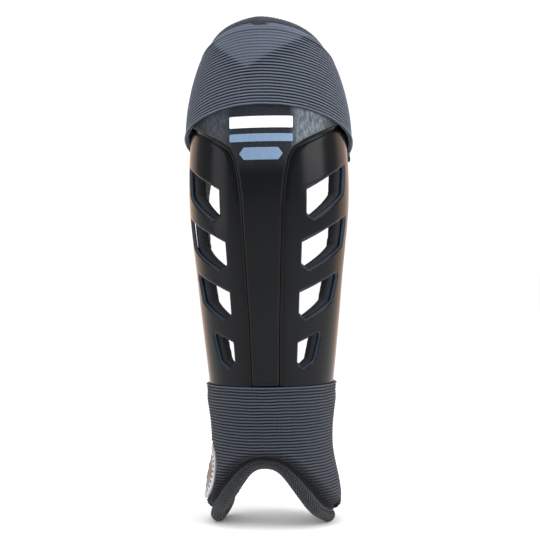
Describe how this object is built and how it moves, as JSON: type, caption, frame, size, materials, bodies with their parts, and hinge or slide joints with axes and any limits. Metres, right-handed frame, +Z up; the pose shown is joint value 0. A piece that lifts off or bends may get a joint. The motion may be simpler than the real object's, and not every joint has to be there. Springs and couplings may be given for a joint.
{
  "type": "shin guard",
  "caption": "Field hockey shin guard: a vented hard shell with a raised front panel on a padded liner, ribbed knit knee and ankle covers, and two rear straps.",
  "frame": {"origin": "on the leg axis, level with the bottom of the ankle lobes", "axes": "+Z up the leg to the knee end, -Y out of the front of the guard, +X to the side where both straps are sewn on"},
  "size_m": [0.1225, 0.1313, 0.3571],
  "materials": {
    "shell_plastic": "glossy black, panel grained",
    "print_white": "printed bar",
    "print_grey": "printed blue-grey",
    "foam_black": "closed-cell foam",
    "lining": "brushed knit",
    "knit_ribbed": "ribbed elastic knit, blue-black",
    "binding": "rolled mesh knit",
    "badge_silver": "soft silver print",
    "badge_face": "brown moulded face",
    "webbing": "woven elastic",
    "hook_tape": "hook tape",
    "loop_tape": "loop tape",
    "pull_rubber": "matt"
  },
  "bodies": {
    "guard": {"shell": "shell_plastic", "white_bar": "print_white", "grey_bar": "print_grey", "front_mark": "print_grey", "liner_foam": "foam_black", "liner_fabric": "lining", "knee_pad": "foam_black", "upper_cover": "knit_ribbed", "upper_hem": "knit_ribbed", "top_roll": "binding", "instep_pad": "foam_black", "lower_cover": "knit_ribbed", "lower_hem": "knit_ribbed", "arch_roll": "binding", "edge_binding_left": "binding", "edge_binding_right": "binding", "ankle_badge": "badge_face", "badge_ring": "badge_silver", "calf_strap_root": "webbing", "calf_loop_tab": "webbing", "calf_loop_patch": "loop_tape", "ankle_strap_root": "webbing", "ankle_loop_tab": "webbing", "ankle_loop_patch": "loop_tape"},
    "calf_strap": {"calf_strap_band": "webbing"},
    "calf_tab": {"calf_strap_end": "webbing", "calf_hook_patch": "hook_tape", "calf_pull_tab": "pull_rubber"},
    "ankle_strap": {"ankle_strap_band": "webbing"},
    "ankle_tab": {"ankle_strap_end": "webbing", "ankle_hook_patch": "hook_tape", "ankle_pull_tab": "pull_rubber"}
  },
  "joints": [
    {"name": "calf_strap_swing", "type": "hinge", "parent": "guard", "child": "calf_strap", "pos_m": [0.05104, 0.04561, 0.28319], "axis": [0.1105, 0.1009, -0.9887], "range_deg": [0, 100]},
    {"name": "calf_tab_peel", "type": "hinge", "parent": "calf_strap", "child": "calf_tab", "pos_m": [-0.03302, 0.06331, 0.2832], "axis": [-0.0714, 0.1398, -0.9876], "range_deg": [0, 60]},
    {"name": "ankle_strap_swing", "type": "hinge", "parent": "guard", "child": "ankle_strap", "pos_m": [0.03504, 0.04304, 0.07496], "axis": [-0.0562, -0.0708, -0.9959], "range_deg": [0, 100]},
    {"name": "ankle_tab_peel", "type": "hinge", "parent": "ankle_strap", "child": "ankle_tab", "pos_m": [-0.01825, 0.05459, 0.07496], "axis": [0.0293, -0.0897, -0.9955], "range_deg": [0, 60]}
  ]
}
